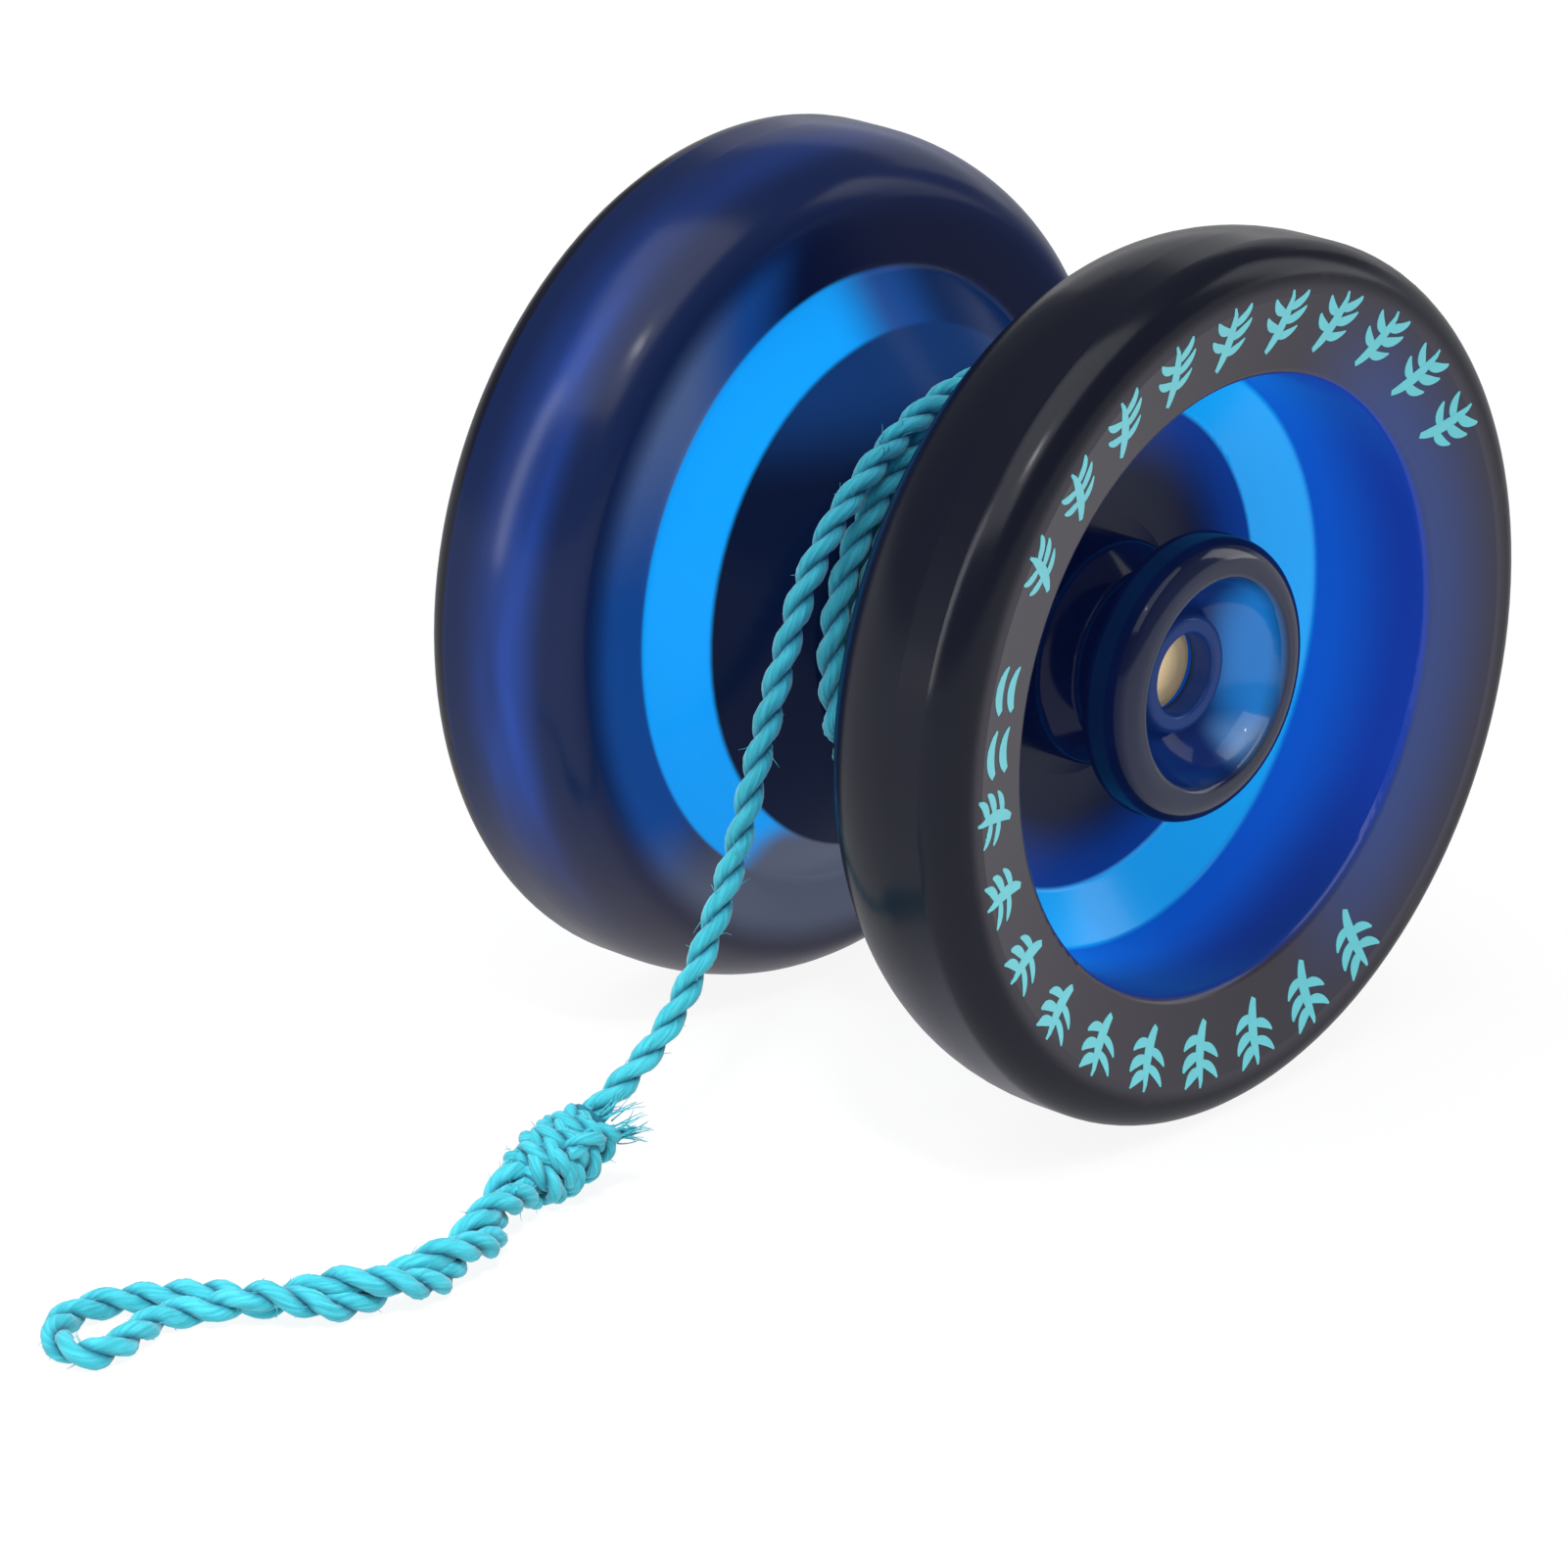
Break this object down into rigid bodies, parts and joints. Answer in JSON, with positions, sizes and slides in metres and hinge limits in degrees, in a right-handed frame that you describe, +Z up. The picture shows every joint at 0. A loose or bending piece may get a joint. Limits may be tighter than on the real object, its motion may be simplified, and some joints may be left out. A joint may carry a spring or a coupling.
{
  "type": "yo-yo",
  "caption": "Ball-bearing yo-yo: two translucent moulded halves with open cups and spool hubs on a screwed axle, string wound on and ending in a knotted finger loop.",
  "frame": {"origin": "middle of the axle, half way between the two halves", "axes": "+Y along the axle from half a to half b, +Z up from the surface that the rims stand on, -X towards the finger loop"},
  "size_m": [0.1023, 0.0438, 0.0562],
  "materials": {
    "shell_plastic": "polished translucent blue moulding",
    "hub_plastic": "polished dark blue moulding",
    "insert_brass": "turned",
    "seat_aluminium": "turned",
    "pad_silicone": "matt silicone",
    "axle_steel": "blackened screw",
    "race_steel": "ground bearing steel",
    "ball_steel": "polished",
    "cage_steel": "pressed",
    "shield_steel": "pressed",
    "string_cord": "twisted matt cotton-polyester cord"
  },
  "bodies": {
    "string_carrier": {"bearing_outer_race": "race_steel", "bearing_shield_a": "shield_steel", "bearing_shield_b": "shield_steel", "bearing_snap_ring_a": "shield_steel", "bearing_snap_ring_b": "shield_steel", "string_winding": "string_cord", "string_lead": "string_cord", "string_knot": "string_cord", "finger_loop_leg": "string_cord", "finger_loop_eye": "string_cord"},
    "ball_cage": {"bearing_balls": "ball_steel", "bearing_cage": "cage_steel"},
    "half_a": {"half_a_shell": "shell_plastic", "half_a_hub": "hub_plastic", "half_a_threaded_insert": "insert_brass", "half_a_bearing_seat": "seat_aluminium", "half_a_response_pad": "pad_silicone", "axle": "axle_steel", "bearing_inner_race": "race_steel"},
    "half_b": {"half_b_shell": "shell_plastic", "half_b_hub": "hub_plastic", "half_b_threaded_insert": "insert_brass", "half_b_bearing_seat": "seat_aluminium", "half_b_response_pad": "pad_silicone"}
  },
  "joints": [
    {"name": "spin", "type": "hinge", "parent": "string_carrier", "child": "half_a", "pos_m": [0, 0, 0], "axis": [0, 1, 0], "continuous": true},
    {"name": "cage_roll", "type": "hinge", "parent": "string_carrier", "child": "ball_cage", "pos_m": [0, 0, 0], "axis": [0, 1, 0], "continuous": true},
    {"name": "unscrew_half_b", "type": "slide", "parent": "half_a", "child": "half_b", "axis": [0, 1, 0], "range_m": [0, 0.012]}
  ],
  "couplings": [
    {"joint": "cage_roll", "follows": "spin", "ratio": 0.41664}
  ]
}
